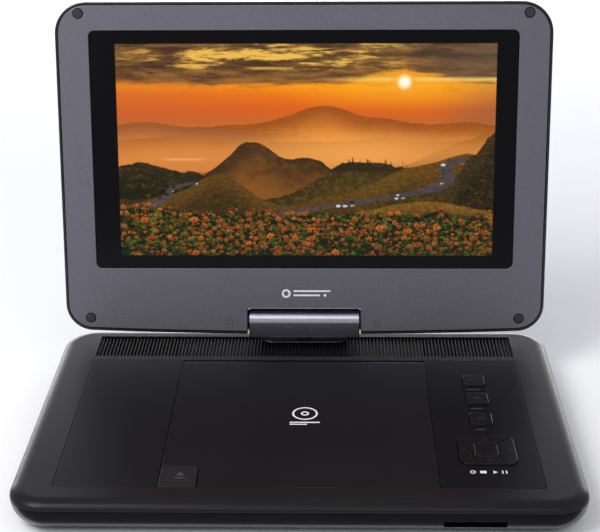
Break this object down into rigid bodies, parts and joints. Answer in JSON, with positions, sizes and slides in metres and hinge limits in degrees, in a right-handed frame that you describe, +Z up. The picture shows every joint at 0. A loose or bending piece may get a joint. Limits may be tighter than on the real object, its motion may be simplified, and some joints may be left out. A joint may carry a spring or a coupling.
{
  "type": "portable disc player",
  "caption": "Clamshell portable disc player with a wide tilting and swivelling screen, a lift-up disc lid, a ribbed speaker strip and a keypad.",
  "frame": {"origin": "bottom centre of the whole object as it stands open, on the plane under its four feet", "axes": "+Z up, +X to the right of the person using it, -Y towards that person"},
  "size_m": [0.288, 0.2234, 0.2189],
  "materials": {
    "lower_case": "fine moulded satin black",
    "deck_border": "smooth satin charcoal paint",
    "deck_gloss": "glossy near black",
    "grille_plastic": "moulded ribs, satin black",
    "key": "semi-gloss near black",
    "bay_plastic": "matt black",
    "rubber": "matt",
    "screw_steel": "plated",
    "screen_metal": "satin",
    "battery_wrap": "shrink wrap",
    "circuit_board": "solder mask",
    "speaker_cone": "paper cone",
    "white_plastic": "natural acetal",
    "hinge_black": "satin black",
    "hinge_satin": "satin grey paint",
    "screen_back": "satin black",
    "bezel_satin": "fine metallic charcoal",
    "screen_glass": "clear, glossy"
  },
  "bodies": {
    "base": {"bottom_shell": "lower_case", "foot_front_left": "rubber", "foot_front_right": "rubber", "foot_rear_left": "rubber", "foot_rear_right": "rubber", "case_screw_1": "screw_steel", "case_screw_2": "screw_steel", "case_screw_3": "screw_steel", "case_screw_4": "screw_steel", "battery_door": "lower_case", "battery_pack": "battery_wrap", "top_shell": "deck_border", "left_panel": "deck_gloss", "keypad_panel": "deck_gloss", "key_board": "circuit_board", "speaker_grille": "grille_plastic", "speaker_left": "speaker_cone", "speaker_right": "speaker_cone", "disc_well": "bay_plastic", "drive_chassis": "screw_steel", "guide_rod_left": "screw_steel", "guide_rod_right": "screw_steel", "spindle_motor": "screw_steel", "sled_motor": "screw_steel", "main_board": "circuit_board", "card_socket": "screw_steel", "dc_jack": "bay_plastic", "av_jack": "bay_plastic", "headphone_jack": "bay_plastic", "swivel_seat": "hinge_black"},
    "disc_lid": {"disc_lid": "deck_gloss"},
    "open_button": {"open_button": "key"},
    "latch_slider": {"latch_slider": "white_plastic"},
    "key_1": {"key_1": "key"},
    "key_2": {"key_2": "key"},
    "key_3": {"key_3": "key"},
    "key_up": {"key_up": "key"},
    "key_down": {"key_down": "key"},
    "key_left": {"key_left": "key"},
    "key_right": {"key_right": "key"},
    "key_ok": {"key_ok": "key"},
    "power_switch": {"power_switch": "key"},
    "volume_wheel": {"volume_wheel": "key"},
    "spindle": {"spindle_hub": "bay_plastic"},
    "sled": {"pickup_sled": "white_plastic"},
    "feed_screw": {"feed_screw": "screw_steel"},
    "swivel": {"swivel_post": "screw_steel", "hinge_cover": "hinge_satin", "tilt_shaft": "screw_steel"},
    "screen": {"lid_rear_shell": "screen_back", "lid_bezel": "bezel_satin", "screw_plug_top_left": "rubber", "screw_plug_top_right": "rubber", "screw_plug_bottom_left": "rubber", "screw_plug_bottom_right": "rubber", "screen_window": "screen_glass", "lcd_panel": "screen_metal", "lcd_board": "circuit_board", "hinge_bracket_left": "screw_steel", "hinge_bracket_right": "screw_steel"}
  },
  "joints": [
    {"name": "screen_swivel", "type": "hinge", "parent": "base", "child": "swivel", "pos_m": [0, 0.07608, 0.0315], "axis": [0, 0, 1], "range_deg": [-180, 0]},
    {"name": "screen_tilt", "type": "hinge", "parent": "swivel", "child": "screen", "pos_m": [0, 0.07608, 0.0315], "axis": [-1, 0, 0], "range_deg": [-99.5, 80.5]},
    {"name": "disc_lid_hinge", "type": "hinge", "parent": "base", "child": "disc_lid", "pos_m": [0, 0.04118, 0.0174], "axis": [-1, 0, 0], "range_deg": [0, 70]},
    {"name": "open_press", "type": "slide", "parent": "base", "child": "open_button", "axis": [0, 0, -1], "range_m": [0, 0.001], "stiffness_N_per_m": 2500},
    {"name": "latch_slide", "type": "slide", "parent": "base", "child": "latch_slider", "axis": [1, 0, 0], "range_m": [0, 0.0015]},
    {"name": "key_1_press", "type": "slide", "parent": "base", "child": "key_1", "axis": [0, 0, -1], "range_m": [0, 0.0006], "stiffness_N_per_m": 2500},
    {"name": "key_2_press", "type": "slide", "parent": "base", "child": "key_2", "axis": [0, 0, -1], "range_m": [0, 0.0006], "stiffness_N_per_m": 2500},
    {"name": "key_3_press", "type": "slide", "parent": "base", "child": "key_3", "axis": [0, 0, -1], "range_m": [0, 0.0006], "stiffness_N_per_m": 2500},
    {"name": "key_up_press", "type": "slide", "parent": "base", "child": "key_up", "axis": [0, 0, -1], "range_m": [0, 0.0006], "stiffness_N_per_m": 2500},
    {"name": "key_down_press", "type": "slide", "parent": "base", "child": "key_down", "axis": [0, 0, -1], "range_m": [0, 0.0006], "stiffness_N_per_m": 2500},
    {"name": "key_left_press", "type": "slide", "parent": "base", "child": "key_left", "axis": [0, 0, -1], "range_m": [0, 0.0006], "stiffness_N_per_m": 2500},
    {"name": "key_right_press", "type": "slide", "parent": "base", "child": "key_right", "axis": [0, 0, -1], "range_m": [0, 0.0006], "stiffness_N_per_m": 2500},
    {"name": "key_ok_press", "type": "slide", "parent": "base", "child": "key_ok", "axis": [0, 0, -1], "range_m": [0, 0.0006], "stiffness_N_per_m": 2500},
    {"name": "power_slide", "type": "slide", "parent": "base", "child": "power_switch", "axis": [0, 1, 0], "range_m": [0, 0.004]},
    {"name": "volume_turn", "type": "hinge", "parent": "base", "child": "volume_wheel", "pos_m": [0.1366, -0.06072, 0.0091], "axis": [0, 0, 1], "range_deg": [-150, 150]},
    {"name": "spindle_spin", "type": "hinge", "parent": "base", "child": "spindle", "pos_m": [0, -0.02722, 0.014], "axis": [0, 0, 1], "continuous": true},
    {"name": "sled_travel", "type": "slide", "parent": "base", "child": "sled", "axis": [0, 1, 0], "range_m": [-0.026, 0.008]},
    {"name": "feed_screw_turn", "type": "hinge", "parent": "base", "child": "feed_screw", "pos_m": [0.023, -0.06272, 0.007], "axis": [0, 1, 0], "range_deg": [-3200, 1000]}
  ],
  "couplings": [
    {"joint": "latch_slide", "follows": "open_press", "ratio": 1.5},
    {"joint": "feed_screw_turn", "follows": "sled_travel", "rad_per_m": 2094.4}
  ]
}
